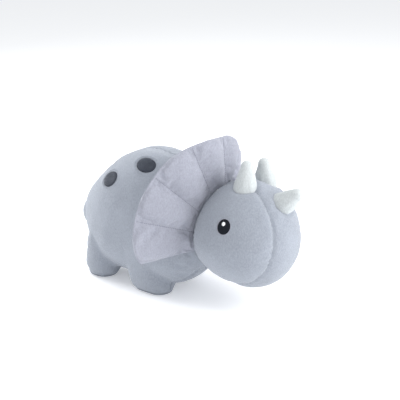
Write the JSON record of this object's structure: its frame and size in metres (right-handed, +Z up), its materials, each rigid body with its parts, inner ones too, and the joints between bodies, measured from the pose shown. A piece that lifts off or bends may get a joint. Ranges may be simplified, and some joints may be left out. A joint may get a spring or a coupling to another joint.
{
  "type": "stuffed horned dinosaur",
  "caption": "Plush three-horned dinosaur on four short feet, with a round head, quilted fan-shaped neck frill, soft horns, oval eyes, dark back spots and a stubby tail.",
  "frame": {"origin": "on the floor, under the middle of the toy's bounding box", "axes": "+X forward to the nose, +Y to the toy's left, +Z up"},
  "size_m": [0.536, 0.3299, 0.3387],
  "materials": {
    "grey_plush": "matte",
    "sole_plush": "matte",
    "lilac_plush": "matte",
    "spot_plush": "matte",
    "white_plush": "matte",
    "eye_thread": "satin",
    "white_thread": "satin",
    "sewing_thread": "matte",
    "fibrefill": "matte"
  },
  "bodies": {
    "torso": {"torso_panel_right": "grey_plush", "torso_panel_left": "grey_plush", "belly_panel": "grey_plush", "torso_stuffing": "fibrefill", "sole_front_right": "sole_plush", "sole_front_left": "sole_plush", "sole_hind_right": "sole_plush", "sole_hind_left": "sole_plush", "spot_front_right": "spot_plush", "spot_front_left": "spot_plush", "spot_rear_right": "spot_plush", "spot_rear_left": "spot_plush", "spot_stitching_right": "sewing_thread", "spot_stitching_left": "sewing_thread"},
    "head": {"neck_stuffing": "fibrefill", "head_stuffing": "fibrefill", "cheek_panel_right": "grey_plush", "cheek_panel_left": "grey_plush", "face_panel": "grey_plush", "eye_right": "eye_thread", "eye_left": "eye_thread", "eye_ring_right": "sewing_thread", "eye_ring_left": "sewing_thread", "eye_glint_right": "white_thread", "eye_glint_left": "white_thread", "brow_horn_right": "white_plush", "brow_horn_left": "white_plush", "nose_horn": "white_plush", "brow_horn_filling_right": "fibrefill", "brow_horn_filling_left": "fibrefill", "nose_horn_filling": "fibrefill", "frill_front": "lilac_plush", "frill_back": "lilac_plush", "frill_wadding": "fibrefill", "frill_quilting": "sewing_thread"},
    "tail": {"tail_cover_right": "grey_plush", "tail_cover_left": "grey_plush", "tail_stuffing": "fibrefill"}
  },
  "joints": [
    {"name": "neck_nod", "type": "hinge", "parent": "torso", "child": "head", "pos_m": [0.076, 0, 0.15], "axis": [0, 1, 0], "range_deg": [-10, 10], "stiffness_Nm_per_rad": 8},
    {"name": "tail_wag", "type": "hinge", "parent": "torso", "child": "tail", "pos_m": [-0.22, 0, 0.118], "axis": [0, 0, 1], "range_deg": [-20, 20], "stiffness_Nm_per_rad": 0.8}
  ]
}
